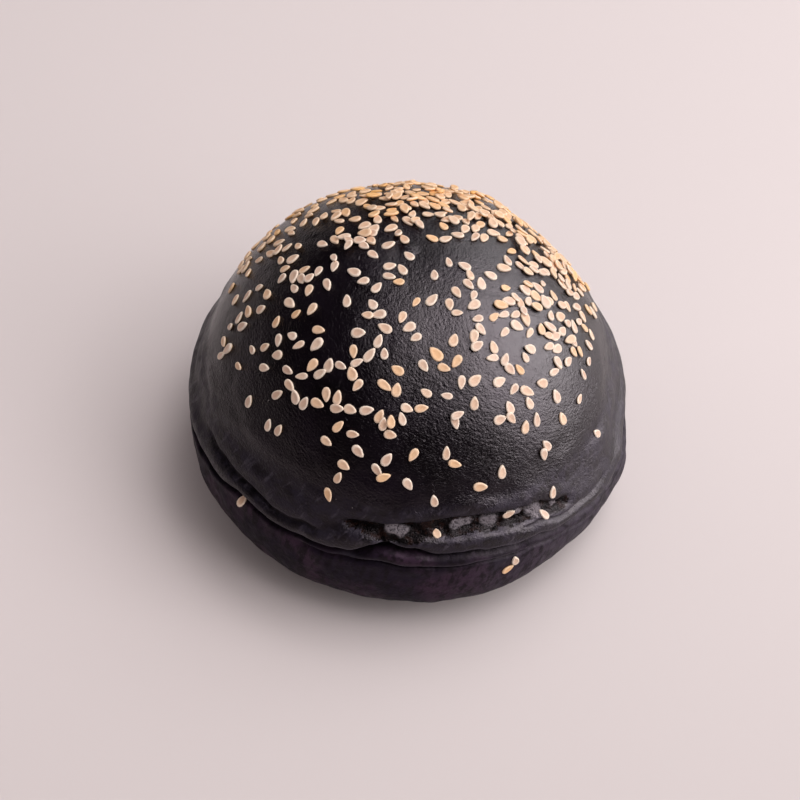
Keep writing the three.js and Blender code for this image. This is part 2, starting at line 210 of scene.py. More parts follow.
RIM_STEP = (-0.9, 0.7)
WANDER = [(0.4, 7, 11), (0.25, 2.8, 12)]  # how a lip strays: layers of (height, wavelength, seed)
WANDER_FLATNESS = 0.3  # it changes less upwards than round the bun


def fold_wander(azimuth, level):
    """How far a lip strays from its even line, in mm: folded skin is never quite straight."""
    angle = np.radians(azimuth)
    rise = WANDER_FLATNESS * level / MEAN_RADIUS
    place = MEAN_RADIUS * np.stack([np.cos(angle), np.sin(angle), rise], axis=-1)
    return layered_noise(place, WANDER)


def fold_share(knots, azimuth, level):
    """Height above the lip's edge, and 1 in the groove: a smooth step at the lip times one at the rim."""
    above = level - around(knots, azimuth) + fold_wander(azimuth, level)
    under_lip = 1 - smooth_step(*LIP_STEP, above)
    over_rim = smooth_step(*RIM_STEP, above + around(knots, azimuth, 2))
    return above, under_lip * over_rim


def fold_shift(knots, shape, azimuth, level):
    """Push out and drop down by one fold: the groove, and bells for the lip, the rim and the sag."""
    above, groove = fold_share(knots, azimuth, level)
    lip = shape["lip"] * bell((above - LIP_RISE) / LIP_REACH)
    rim = shape["rim"] * bell((above + around(knots, azimuth, 2) + RIM_DROP) / RIM_REACH)
    sag = shape["sag"] * bell((above - SAG_RISE) / SAG_REACH)
    depth = around(knots, azimuth, 3)
    return depth * (lip + rim - groove), depth * sag


print("folds:", len(FOLDS))

# %% [markdown]
# ## Dents, swellings and the point of every place
#
# No bun is a perfect dome. A few broad dents and swellings are listed, each a bell on the crust.
# Then one function gives the place of the crust for any azimuth and level. The grid, the seeds and their
# tilt all ask this one function, so a seed always sits on the skin.

# %% Swellings
# Each is (azimuth, level, reach in mm, height in mm)
SWELLINGS = [(-19, 16, 7, 1.4), (-10, 28, 12, -1.3), (-18, 24, 6, -0.6), (-92, 38, 7, 0.6),
             (-87, 55, 9, -0.6), (-60, 48, 13, 0.4), (-125, 50, 14, 0.5), (-73, 61, 7, -0.4),
             (12, 40, 18, -0.7), (95, 52, 18, -0.7), (45, 48, 14, -0.4), (170, 38, 14, -0.6),
             (75, 30, 10, 0.4), (-150, 13, 12, 0.4), (-98, 12, 12, -0.2), (-50, 9, 10, -0.6),
             (130, 13, 12, 0.6), (40, 11, 12, 0.5)]


def swelling(azimuth, level):
    """Sum of bells on the crust."""
    total = np.zeros_like(azimuth, dtype=float)
    for centre, height, reach, rise in SWELLINGS:
        across = loaf_radius(level) * np.radians(wrap_degrees(azimuth - centre))
        total += rise * bell(np.hypot(across, level - height) / reach)
    return total


def smooth_place(azimuth, level):
    """The place on the smooth loaf, for the noise to read."""
    angle = np.radians(azimuth)
    radius = loaf_radius(level)
    return np.stack([radius * np.cos(angle), radius * np.sin(angle), level], axis=-1)


print("swellings:", len(SWELLINGS))

# %% Torn skin, wrinkles and pits
# Chips of glaze left in the torn band, painted pale as highlights: azimuth, level, half width and half
# height in mm
CHIPS = [(-77, 31.7, 2.4, 1.1), (-69.5, 30.9, 2.3, 1.3), (-57.5, 29.6, 1.7, 1.5), (-62, 30.7, 1.1, 0.8),
         (-51.5, 28.8, 0.8, 0.6), (-92.5, 31.8, 2.4, 0.9)]
CHIP_RISE = 0.3
# Layers of noise, each (height, wavelength, seed)
RAGGED_TEAR = [(0.15, 1.5, 13)]
RAGGED_CHIPS = [(0.3, 1.4, 14)]
LUMPS = [(0.22, 17, 2), (0.1, 7, 3)]
WRINKLES = [(0.35, 2.3, 4), (0.25, 4.5, 15)]
TORN_CRUMB = [(0.5, 2.2, 5), (0.4, 1.1, 6)]
HEEL_CREASES = [(0.2, 5, 7)]
HEEL_GRAIN = [(0.1, 1.8, 9)]
WRINKLE_SQUEEZE = np.array([0.4, 0.4, 1.0])  # long round the bun, short upwards
CREASE_SQUEEZE = np.array([1, 1, 0.6])
WRINKLED = (33, 7)  # level and reach of the wrinkles by the torn fold,
LEDGE_WRINKLED = (23.5, 2.5)  # and of those on the ledge,
LEDGE_SHARE = 0.8  # which are this share as high
CREASED = (25, 19)  # levels between which the heel's creases set in
PITS = [(1.0, 1.9, 8)]
PIT_DEPTH = 0.14
PIT_FROM = 0.35


def torn_share(azimuth, level):
    """1 on the torn skin, with a ragged edge."""
    band = fold_share(TORN_FOLD, azimuth, level)[1] * np.minimum(1, around(TORN_FOLD, azimuth, 3))
    return smooth_step(0.3, 0.6, band + layered_noise(smooth_place(azimuth, level), RAGGED_TEAR))


def chip_share(azimuth, level):
    """1 on the chips, with a ragged edge."""
    nearest = np.zeros_like(azimuth, dtype=float)
    for centre, height, wide, tall in CHIPS:
        across = loaf_radius(level) * np.radians(wrap_degrees(azimuth - centre))
        nearest = np.maximum(nearest, bell(np.hypot(across / wide, (level - height) / tall)))
    return smooth_step(0.3, 0.5, nearest + layered_noise(smooth_place(azimuth, level), RAGGED_CHIPS))


def fine_relief(azimuth, level):
    """Lumps, wrinkles along the fold, torn skin and pits, in mm, each noise times where it belongs."""
    place = smooth_place(azimuth, level)
    lumps = layered_noise(place, LUMPS)
    by_tear = bell((level - WRINKLED[0]) / WRINKLED[1])
    on_ledge = LEDGE_SHARE * bell((level - LEDGE_WRINKLED[0]) / LEDGE_WRINKLED[1])
    wrinkles = np.maximum(by_tear, on_ledge) * layered_noise(place * WRINKLE_SQUEEZE, WRINKLES)
    chips = chip_share(azimuth, level)
    broken = torn_share(azimuth, level) * (1 - chips)
    torn = broken * layered_noise(place, TORN_CRUMB) + CHIP_RISE * chips
    heel = layered_noise(place * CREASE_SQUEEZE, HEEL_CREASES) + layered_noise(place, HEEL_GRAIN)
    creases = smooth_step(*CREASED, level) * heel
    pits = -PIT_DEPTH * np.clip(layered_noise(place, PITS) - PIT_FROM, 0, 1)
    return lumps + wrinkles + torn + creases + pits


print("relief on the front at level 33, mm:", fine_relief(np.array(-90.0), np.array(33.0)).round(2))

# %% The crust's place
BASE_FADE = 4  # up to this level the folds fade in, so that the base stays flat
NORMAL_STEP = 0.6  # half the step, in degrees and in mm, over which the skin's slopes are taken


def crust_place(azimuth, level, relief=True):
    """The place of the skin, in mm: the smooth loaf, pushed along its normal and dropped by the folds."""
    azimuth, level = np.broadcast_arrays(np.asarray(azimuth, float), np.asarray(level, float))
    outwards, up = loaf_normal(level)
    push = swelling(azimuth, level)
    if relief:
        push = push + fine_relief(azimuth, level)
    drop = np.zeros_like(push)
    for knots, shape in FOLDS:
        fold_push, fold_drop = fold_shift(knots, shape, azimuth, level)
        push = push + fold_push
        drop = drop + fold_drop
    fade = smooth_step(0, BASE_FADE, level)
    radius = loaf_radius(level) * plan_factor(azimuth) + push * outwards * fade
    angle = np.radians(azimuth)
    height = np.maximum(0, level + (push * up - drop) * fade)
    return np.stack([radius * np.cos(angle), radius * np.sin(angle), height], axis=-1)


def crust_normal(azimuth, level):
    """Unit normal of the skin: the cross product of its slopes round and up, without the fine relief."""
    step = NORMAL_STEP
    round_slope = crust_place(azimuth + step, level, False) - crust_place(azimuth - step, level, False)
    up_slope = crust_place(azimuth, level + step, False) - crust_place(azimuth, level - step, False)
    normal = np.cross(round_slope, up_slope)
    return normal / np.linalg.norm(normal, axis=-1, keepdims=True)


print("front of the skin at level 40, mm:", crust_place(-90, 40).round(1))

# %% [markdown]
# ## The crust as one mesh
#
# The skin is one grid of rings: close together where the folds are, wider on the dome, and across the
# flat base to its centre. The rings ride up and down with the main fold, so that its sharp lip runs along
# a ring and isn't cut into steps. The first and last rings close on a single point.

# %% Grid to mesh
SIDES = 600
BASE_RINGS = 7
HEEL_RINGS = 18
FOLD_RINGS = 74
DOME_RINGS = 58
FOLD_BAND = (14, 37)
FOLD_MIDDLE = 25
FOLD_BAND_FADE = 11  # the rings follow the main fold less, further from it,
FOLLOW_FROM = 9  # and not at the foot
HEEL_CROWDING = 1.4  # the heel's rings lie closer at the foot


def ring_levels():
    """Levels from the heel's foot to just under the crown."""
    low, high = FOLD_BAND
    heel = low * np.linspace(0, 1, HEEL_RINGS, endpoint=False) ** HEEL_CROWDING
    band = np.linspace(low, high, FOLD_RINGS, endpoint=False)
    share = np.sin(0.5 * np.pi * np.linspace(0, 1, DOME_RINGS, endpoint=False))
    return np.concatenate([heel, band, high + (HEIGHT - high) * share])


def closed_grid_faces(rings, sides):
    """Quads between neighbouring rings, as a whole array of vertex numbers."""
    ring, side = np.meshgrid(np.arange(rings - 1), np.arange(sides), indexing="ij")
    after = (side + 1) % sides
    low, high = ring * sides, (ring + 1) * sides
    return np.stack([low + side, low + after, high + after, high + side], axis=-1).reshape(-1, 4)


def make_mesh(name, points, quads, triangles):
    """A mesh object at the origin from arrays in mm."""
    mesh = bpy.data.meshes.new(name)
    faces = [tuple(face) for face in quads.tolist()] + [tuple(face) for face in triangles.tolist()]
    mesh.from_pydata((points * MM).tolist(), [], faces)
    mesh.update()
    mesh.polygons.foreach_set("use_smooth", [True] * len(mesh.polygons))
    piece = bpy.data.objects.new(name, mesh)
    bpy.context.scene.collection.objects.link(piece)
    return piece


def add_attribute(piece, name, values):
    """A number for each vertex, for the material to read."""
    attribute = piece.data.attributes.new(name, "FLOAT", "POINT")
    attribute.data.foreach_set("value", np.asarray(values, float).ravel())


levels = ring_levels()
print("rings on the skin:", len(levels))

# %% The crust's mesh
azimuths = np.linspace(-180, 180, SIDES, endpoint=False)
azimuth_grid, nominal = np.meshgrid(azimuths, levels)
fold_rise = around(MAIN_FOLD, azimuth_grid) - FOLD_MIDDLE
follow = bell((nominal - FOLD_MIDDLE) / FOLD_BAND_FADE) * np.minimum(1, nominal / FOLLOW_FROM)
level_grid = nominal + fold_rise * follow
skin = crust_place(azimuth_grid, level_grid)

foot = skin[0]
base_shares = np.linspace(0, 1, BASE_RINGS + 1)[1:]
base = foot[None] * base_shares[:, None, None]
grid = np.concatenate([base[:-1], skin])
crown = np.array([[0, 0, HEIGHT + float(fine_relief(np.array(0.0), np.array(HEIGHT)))]])
points = np.concatenate([grid.reshape(-1, 3), np.zeros((1, 3)), crown])
quads = closed_grid_faces(len(grid), SIDES)
side = np.arange(SIDES)
after = (side + 1) % SIDES
base_centre, crown_centre = len(points) - 2, len(points) - 1
last = (len(grid) - 1) * SIDES
base_fan = np.stack([np.full(SIDES, base_centre), after, side], axis=-1)
crown_fan = np.stack([last + side, last + after, np.full(SIDES, crown_centre)], axis=-1)
crust = make_mesh("crust", points, quads, np.concatenate([base_fan, crown_fan]))
print("crust faces:", len(crust.data.polygons), "triangles:", 2 * len(quads) + 2 * SIDES)

# %% [markdown]
# ## Which skin is where
#
# Three kinds of skin meet on a bun like this: the glazed dome, the matte heel under the main fold and the
# bare torn band. They could be painted on one material with masks, but their shine differs, so each gets
# its own material and every face carries the number of its own. What changes softly inside a material,
# such as the painted shade in a groove or the painted highlight on a lip, is a number on each vertex
# instead.

# %% Faces and vertices of each skin
DOME, HEEL, TORN = 0, 1, 2
HEEL_BELOW = -0.4  # a face with a corner lower than this, from the main lip's edge, is heel
LOW_SKIN = (38, 33.5)  # levels between which the low, dull part of the dome sets in
LIP_HIGHLIGHT = (0.4, 0.35)  # height above a lip's edge, and reach, of the grey highlight painted along it
SHADE_REACH = (-3, -0.5)  # the shade of a groove fades in between these heights
SHADE_SHARE = 0.6


def on_skin(values, at_crown):
    """Values of the skin's grid, with 0 for the base rings and its centre, and one for the crown."""
    base_points = (len(grid) - len(skin)) * SIDES
    return np.concatenate([np.zeros(base_points), values.ravel(), [0, at_crown]])


above_lip = fold_share(MAIN_FOLD, azimuth_grid, level_grid)[0]
surface = np.full(len(crust.data.polygons), DOME)
quad_surface = surface[:len(quads)]
quad_surface[on_skin(above_lip, HEIGHT)[quads].min(axis=1) < HEEL_BELOW] = HEEL
quad_surface[on_skin(torn_share(azimuth_grid, level_grid), 0)[quads].mean(axis=1) > 0.5] = TORN
surface[len(quads):len(quads) + SIDES] = HEEL
crust.data.polygons.foreach_set("material_index", surface)
add_attribute(crust, "low", on_skin(smooth_step(*LOW_SKIN, level_grid), 0))
add_attribute(crust, "chip", on_skin(chip_share(azimuth_grid, level_grid), 0))
# Painted light: a grey highlight just above each lip's edge, and shade in each groove and under its lip.
lip_highlights = np.zeros_like(level_grid)
groove_shade = np.zeros_like(level_grid)
for knots in (MAIN_FOLD, MIDDLE_FOLD, UPPER_FOLD):
    above, groove = fold_share(knots, azimuth_grid, level_grid)
    depth = around(knots, azimuth_grid, 3)
    edge = bell((above - LIP_HIGHLIGHT[0]) / LIP_HIGHLIGHT[1])
    shaded = SHADE_SHARE * smooth_step(*SHADE_REACH, above) * (above < 0)
    lip_highlights = np.maximum(lip_highlights, edge * smooth_step(0.2, 1.2, depth))
    groove_shade = np.maximum(groove_shade, np.maximum(groove, shaded) * smooth_step(0.2, 1.6, depth))
add_attribute(crust, "edge", on_skin(lip_highlights, 0))
add_attribute(crust, "groove", on_skin(groove_shade, 0))
print("faces of dome, heel and torn band:", np.bincount(surface))

# %% [markdown]
# ## Sprinkling the seeds
#
# A baker wets the dome and presses or shakes the seeds on, so they lie flat, thickest near the crown and
# in drifts. The rule does the same: darts are thrown evenly at the dome, and a dart is kept as often as
# the local thickness of the sprinkling says. A dart too near a seed that already lies there is dropped,
# and seeds crowd closer in the thick drifts. Low on the front, where they are few, each seed is listed
# one by one.

# %% How thickly the seeds lie
SEED_LENGTH = 2.95
SEED_WIDTH = 1.75
SEED_THICKNESS = 0.6
SEED_RISE = 0.12
SEED_SIZE_SPREAD = 0.15
SPARSE_SPACING = 2.2
DENSE_SPACING = 1.4
CROWDED = (0.1, 0.3)  # densities between which the spacing goes from sparse to dense
CROWN_DENSITY = 0.085
CROWN_EDGE = (36, 55)
POLE_MARGIN = 0.02
FRONT_SLOPE = np.array([0, 0.73, 0.68])  # below this slanting plane the front has the listed seeds alone
FRONT_LIMIT = 13
LOWEST_SEED = 32
PEAK_DENSITY = 0.65
# Thicker and thinner patches of the sprinkling: azimuth, level, reach in mm, seeds for each square mm
PATCHES = [(92, 62, 9, 0.5), (60, 62, 8, 0.5), (38, 60, 6, 0.3), (20, 55, 8, 0.35), (16, 47, 6, 0.3),
           (60, 53, 12, 0.12), (150, 65, 7, 0.3), (150, 57, 6, 0.06), (162, 48, 5, 0.1),
           (-160, 47, 5, 0.05), (-172, 61, 6, 0.08), (-96, 55, 6, 0.06), (-82, 61, 5, 0.08),
           (-48, 58, 8, 0.12), (-19, 58, 7, 0.26), (-19, 50, 6, 0.22), (-61, 50, 5, 0.05),
           (-105, 40, 6, 0.03), (-67, 39, 4, 0.03), (-10, 65, 5, -0.05), (-106, 64, 5, -0.05),
           (178, 51, 4, -0.05), (-140, 47, 7, -0.05), (-120, 49, 8, -0.03), (-67, 54, 4, -0.03),
           (-39, 43, 6, -0.03)]
# Seeds below the sprinkling and low on the front, and one on the crown: azimuth, level, turn in degrees
STRAYS = [(-64, 19.2, 100), (-65.8, 17.1, 20), (-136, 23.4, 80), (-83.1, 30.4, 110), (-64, 30.8, 10),
          (-55.2, 28, 95), (-51.7, 31.7, 60), (-83.3, 37.7, 95), (-30.5, 33.8, 120), (70, 28, 40),
          (128, 31, 70), (-111, 36, -65), (-109, 40, 75), (-108, 42.5, -20), (-104.5, 45.5, -40),
          (-98.5, 43, -45), (-96.5, 42, 15), (-96, 45, 55), (-88.5, 46, -120), (-90, 41, -60),
          (-79, 46, 80), (-77, 44, -20), (-71, 39, -10), (-64.5, 40.5, 75), (-49.5, 41, 110),
          (-51.5, 40, -95), (-41, 43, 80), (-114.5, 45.5, -20), (-112, 48.5, 60), (-107, 48, 10),
          (-134.5, 42.5, 100), (-130.5, 43, 80), (-145, 43, 100), (-146.5, 49.5, 30), (-125.5, 49.5, 80),
          (-121, 50.5, 0), (-114, 51, 20), (-109.5, 51.5, 0), (-104, 52, 15), (-99.5, 51.5, 70),
          (-98, 50.5, 80), (-95.5, 51, 80), (-92, 51.5, 100), (-95.5, 49, -15), (-90.5, 53, -30),
          (-85.5, 53, 0), (-75, 50.5, -80), (-74, 51.5, 10), (-67.5, 52.5, 80), (-56.5, 50, 85),
          (-61, 49, 0), (-57.5, 48.5, -70), (-49.5, 49, 85), (-49.5, 46, 70), (-54, 46, 60),
          (-90, 65.38, 100)]


def sprinkling(places, levels):
    """Seeds for each square mm: the crown's density, thinning out downwards, and bells for the patches."""
    density = CROWN_DENSITY * smooth_step(*CROWN_EDGE, levels)
    for azimuth, level, reach, extra in PATCHES:
        centre = crust_place(azimuth, level, False)
        density = density + extra * bell(np.linalg.norm(places - centre, axis=-1) / reach)
    return density * (places @ FRONT_SLOPE > FRONT_LIMIT)


def sprinkle():
    """Azimuth, level, turn and size of each seed: the strays, then the darts that were kept."""
    crown_area = 2 * np.pi * MEAN_RADIUS * (HEIGHT - LOWEST_SEED)
    dart = np.arange(round(PEAK_DENSITY * crown_area))
    azimuth = 360 * draw(dart, 1)
    level = LOWEST_SEED + (HEIGHT - POLE_MARGIN - LOWEST_SEED) * draw(dart, 2)
    places = crust_place(azimuth, level)
    density = sprinkling(places, level)
    wanted = draw(dart, 3) * PEAK_DENSITY < density
    room = SPARSE_SPACING + (DENSE_SPACING - SPARSE_SPACING) * smooth_step(*CROWDED, density)
    turn = 360 * draw(dart, 4)
    size = 1 + SEED_SIZE_SPREAD * (2 * draw(dart, 5) - 1)
    seeds = [(*stray, 1.0) for stray in STRAYS]
    taken = [crust_place(stray[0], stray[1]) for stray in STRAYS]
    for k in np.flatnonzero(wanted):
        if np.linalg.norm(np.array(taken) - places[k], axis=1).min() < room[k]:
            continue
        taken.append(places[k])
        seeds.append((azimuth[k], level[k], turn[k], size[k]))
    return np.array(seeds), np.array(taken)


seeds, seed_places = sprinkle()
print("seeds:", len(seeds))

# %% [markdown]
# ## One sesame seed
#
# A hulled sesame seed is a flat teardrop: blunt and round at one end, pointed at the other, about 3 mm
# long, with a soft ridge round a slightly sunk middle. So it is made of layers of one outline: each layer
# has a size and a height. Hundreds are joined into one mesh, so each stays under a hundred faces.

# %% Seed template
SEED_SIDES = 14
# The layers as (size, height), from the underside up; the ridge is the highest
SEED_LAYERS = [(0.62, -0.9), (0.95, -0.45), (1.0, 0.1), (0.93, 0.75), (0.74, 1.0), (0.5, 0.8)]
SEED_MIDDLE = 0.66
SEED_TAPER = 0.27
SEED_POINT = 0.16


def seed_template():
    """Unit seed, length along x: layers of the outline y = sin t (1 - taper x), narrowed at the tip."""
    turn = 2 * np.pi * np.arange(SEED_SIDES) / SEED_SIDES
    x = np.cos(turn)
    y = np.sin(turn) * (1 - SEED_TAPER * x) * (1 - SEED_POINT * np.clip(x, 0, 1) ** 2)
    layers = np.array(SEED_LAYERS)
    size, height = layers[:, :1], np.broadcast_to(layers[:, 1:], (len(layers), SEED_SIDES))
    rings = np.stack([size * x, size * y, height], axis=-1)
    points = np.concatenate([rings.reshape(-1, 3), [[0, 0, SEED_LAYERS[0][1]], [0, 0, SEED_MIDDLE]]])
    rim = np.concatenate([np.repeat(smooth_step(0.5, 0.95, layers[:, 0]), SEED_SIDES), [0, 0]])
    under = smooth_step(0.1, -0.6, points[:, 2])
    quads = closed_grid_faces(len(layers), SEED_SIDES)
    side = np.arange(SEED_SIDES)
    after = (side + 1) % SEED_SIDES
    below, above = len(points) - 2, len(points) - 1
    last = (len(layers) - 1) * SEED_SIDES
    fans = np.concatenate([
        np.stack([np.full(SEED_SIDES, below), after, side], axis=-1),
        np.stack([last + side, last + after, np.full(SEED_SIDES, above)], axis=-1),
    ])
    return points, quads, fans, rim, under


print("points of one seed:", len(seed_template()[0]))

# %% How the seeds lie
STACK_REACH = (2.7, 1.5)  # a seed is raised by one nearer than this, fully at the second distance
STACK_STEP = 0.55
STACK_LIMIT = 1.2
NEAREST = 0.1  # keeps the lean finite where two seeds share a place


def seed_axes(normals, turns):
    """Three unit axes for each seed: its length and width in the skin, and the skin's normal."""
    level_axis = np.cross(np.array([0, 0, 1.0]), normals)
    level_axis = level_axis / np.linalg.norm(level_axis, axis=1, keepdims=True)
    up_axis = np.cross(normals, level_axis)
    angle = np.radians(turns)[:, None]
    length_axis = np.cos(angle) * level_axis + np.sin(angle) * up_axis
    return length_axis, np.cross(normals, length_axis), normals


def seed_lifts(places):
    """How far each seed is raised, and which way it leans, over those that fell before it."""
    lifts = np.zeros(len(places))
    leans = np.zeros((len(places), 3))
    for k in range(1, len(places)):
        away = places[k] - places[:k]
        distance = np.linalg.norm(away, axis=1)
        over = smooth_step(*STACK_REACH, distance)
        raised = over * (STACK_STEP + lifts[:k])
        top = int(np.argmax(raised))
        lifts[k] = min(raised[top], STACK_LIMIT)
        leans[k] = over[top] * away[top] / max(distance[top], NEAREST)
    return lifts, leans


print("highest lift, mm:", seed_lifts(seed_places)[0].max().round(2))

# %% Joined seeds
WOBBLE = 0.22
LEAN = 0.3
SPREADS = (0.16, 0.26, 0.3)  # of length, width and thickness, from the least to the most
DARKEST = 0.55  # how gold the few darkest seeds are,
BACK_WARM_LIGHT = 0.5  # how much painted warm light is added towards the back,
WARM_LIT_BACK = (-5, 30)  # between these places from front to back, in mm,
UNDER_WARM_SHADE = 0.8  # and how much painted warm shade on the underside of a seed


def join_seeds(seeds, places):
    """All seeds as arrays: template points times their axes and sizes, plus their places."""
    points, quads, fans, rim, under = seed_template()
    lifts, leans = seed_lifts(places)
    count = np.arange(len(seeds))
    normals = crust_normal(seeds[:, 0], seeds[:, 1])
    wobble = np.stack([draw(count, 21), draw(count, 22), draw(count, 23)], axis=-1) - 0.5
    tilted = normals + WOBBLE * wobble + LEAN * leans
    tilted = tilted / np.linalg.norm(tilted, axis=1, keepdims=True)
    axes = seed_axes(tilted, seeds[:, 2])
    size = seeds[:, 3]
    draws = np.stack([draw(count, 24), draw(count, 25), draw(count, 26)], axis=-1) - 0.5
    means = np.array([SEED_LENGTH, SEED_WIDTH, SEED_THICKNESS])
    halves = size[:, None] * means / 2 * (1 + np.array(SPREADS) * draws)
    placed = (places + normals * (SEED_RISE + lifts)[:, None])[:, None, :]
    for i, axis in enumerate(axes):
        placed = placed + (points[:, i][None] * halves[:, i][:, None])[..., None] * axis[:, None, :]
    offsets = (count * len(points))[:, None, None]
    all_quads = (quads[None] + offsets).reshape(-1, 4)
    all_fans = (fans[None] + offsets).reshape(-1, 3)
    return placed.reshape(-1, 3), all_quads, all_fans, np.tile(rim, len(seeds)), under


seed_points, seed_quads, seed_fans, seed_rim, under = join_seeds(seeds, seed_places)
sesame = make_mesh("sesame_seeds", seed_points, seed_quads, seed_fans)
add_attribute(sesame, "rim", seed_rim)
count = np.arange(len(seeds))
# A few seeds are toasted gold. The rest of the gold is painted warm light towards the back and painted warm
# shade under each seed.
few_dark = DARKEST * draw(count, 31) ** 4
painted_back_glow = BACK_WARM_LIGHT * smooth_step(*WARM_LIT_BACK, seed_places[:, 1])
toast_and_warm_light = (few_dark + painted_back_glow)[:, None] + UNDER_WARM_SHADE * under
add_attribute(sesame, "toast_and_warm_light", np.minimum(1, toast_and_warm_light))
add_attribute(sesame, "shade", np.repeat(draw(count, 32), len(under)))
print("seed faces:", len(sesame.data.polygons), "for each:", len(sesame.data.polygons) / len(seeds))

# %% [markdown]
# ## Helpers for the finishes
#
# A photograph of crust could be wrapped on, but it would carry its own light and blur close up. Here each
# finish is a tree of nodes that works out its colour at every point. The trees read the object's own
# coordinates, in metres, so a grain 1 mm wide has the scale 1000, and the attributes made above.

# %% Node helpers
def new_material(name):
    """An empty node material and its principled shader."""
    material = bpy.data.materials.new(name)
    material.use_nodes = True
    return material, material.node_tree, material.node_tree.nodes["Principled BSDF"]


def put(tree, socket, value):
    """Set a socket to a value, or link it when the value is another socket."""
    if isinstance(value, bpy.types.NodeSocket):
        tree.links.new(value, socket)
    else:
        socket.default_value = value


def add_node(tree, kind, inputs, output, **settings):
    """A node with settings and inputs by name or number; gives back one of its outputs."""
    node = tree.nodes.new(kind)
    for name, value in settings.items():
        setattr(node, name, value)
    for key, value in inputs.items():
        put(tree, node.inputs[key], value)
    return node.outputs[output]


def attribute(tree, name):
    """The number that each vertex carries under this name."""
    return add_node(tree, "ShaderNodeAttribute", {}, "Fac", attribute_name=name)


def noise(tree, width, detail=3.0, roughness=0.55, stretch=None):
    """Grey noise in the object's space, with lumps this many mm wide; stretch is (turn, length along z)."""
    place = add_node(tree, "ShaderNodeTexCoord", {}, "Object")
    if stretch:
        turn, length = stretch
        turned = {"Vector": place, "Rotation": (0, np.radians(turn), 0), "Scale": (1, 1, length)}
        place = add_node(tree, "ShaderNodeMapping", turned, "Vector", vector_type="TEXTURE")
    inputs = {"Vector": place, "Scale": 1 / (width * MM), "Detail": detail, "Roughness": roughness}
    return add_node(tree, "ShaderNodeTexNoise", inputs, "Fac")


def remap(tree, value, low, high, to_low=0.0, to_high=1.0):
    """The value stretched from one range to another, and kept inside it."""
    inputs = {"Value": value, "From Min": low, "From Max": high, "To Min": to_low, "To Max": to_high}
    return add_node(tree, "ShaderNodeMapRange", inputs, "Result")


def mix_values(tree, share, first, second):
    """first + share (second - first), for numbers."""
    return add_node(tree, "ShaderNodeMix", {0: share, 2: first, 3: second}, 0, data_type="FLOAT")


def mix_colours(tree, share, first, second):
    """The same for colours."""
    return add_node(tree, "ShaderNodeMix", {0: share, 6: first, 7: second}, 2, data_type="RGBA")


def combine(tree, operation, first, second):
    """One step of arithmetic between two numbers."""
    return add_node(tree, "ShaderNodeMath", {0: first, 1: second}, 0, operation=operation)


print("node helpers ready")

# %% [markdown]
# ## The black glaze
#
# The dome was brushed with egg before it went in, so it is nearly black with a hint of purple under a
# thin glaze. A plain glossy black would mirror the soft boxes like paint. Real glaze is leathery: fine
# grain, strokes and pits break up the light into a grainy sheen, so three noises drive a bump. Low down
# the glaze is thin and dull, with a bluish mottle and pale wisps. Shade is painted near black into the
# grooves, and a grey highlight is painted along the lips' edges.

# %% Colours of the glaze
dome_material, tree, shader = new_material("black_glaze")
lower = attribute(tree, "low")
painted_lip_highlight = attribute(tree, "edge")
grain = noise(tree, 0.55, 4.0, 0.65)
strokes = noise(tree, 1.1, 3.0, 0.6, stretch=(30, 0.4))
leather = noise(tree, 3.2, 3.0, 0.5)
patches = noise(tree, 11, 2.0, 0.5)
pits = remap(tree, noise(tree, 0.8, 1.0, 0.4), 0.62, 0.74)

cells = {"Vector": add_node(tree, "ShaderNodeTexCoord", {}, "Object"), "Scale": 1 / (1.6 * MM)}
cell_distance = add_node(tree, "ShaderNodeTexVoronoi", cells, "Distance")
cell_draw = add_node(tree, "ShaderNodeTexVoronoi", cells, "Color")
speck_size = remap(tree, cell_draw, 0.80, 1.0, 0.0, 0.13)
specks = combine(tree, "LESS_THAN", cell_distance, speck_size)

BLACK = (0.0028, 0.0018, 0.0026, 1)
BLACK_PURPLE = (0.0065, 0.0040, 0.0070, 1)
LOW_BLUE = (0.0125, 0.0092, 0.0178, 1)
# The edge grey is a painted highlight for the lips, and the soot black also paints shade in the grooves.
EDGE_HIGHLIGHT_GREY = (0.050, 0.042, 0.055, 1)
WISP_GREY = (0.040, 0.033, 0.045, 1)
SOOT_AND_GROOVE_SHADE = (0.0012, 0.0008, 0.0010, 1)
DUST = (0.20, 0.17, 0.17, 1)
crown_colour = mix_colours(tree, remap(tree, patches, 0.35, 0.7), BLACK, BLACK_PURPLE)
contour_mottle = noise(tree, 4.5, 4.0, 0.65, stretch=(0, 0.5))
upright_mottle = noise(tree, 3.0, 4.0, 0.65, stretch=(20, 2.4))
mottle = remap(tree, combine(tree, "ADD", contour_mottle, upright_mottle), 0.9, 1.12, 0.05, 1)
body_colour = mix_colours(tree, combine(tree, "MULTIPLY", lower, mottle), crown_colour, LOW_BLUE)
wisps = remap(tree, noise(tree, 1.3, 3.0, 0.6, stretch=(35, 3.5)), 0.55, 0.7)
wispy_colour = mix_colours(tree, combine(tree, "MULTIPLY", lower, wisps), body_colour, WISP_GREY)
# Painted shade: the grooves and the skin under each lip are darkened towards near-black.
shaded_colour = mix_colours(tree, attribute(tree, "groove"), wispy_colour, SOOT_AND_GROOVE_SHADE)
# Painted highlight: a grey line along each lip's edge.
dome_colour = mix_colours(tree, painted_lip_highlight, shaded_colour, EDGE_HIGHLIGHT_GREY)
put(tree, shader.inputs["Base Color"], mix_colours(tree, specks, dome_colour, DUST))
print("colour nodes:", len(tree.nodes))

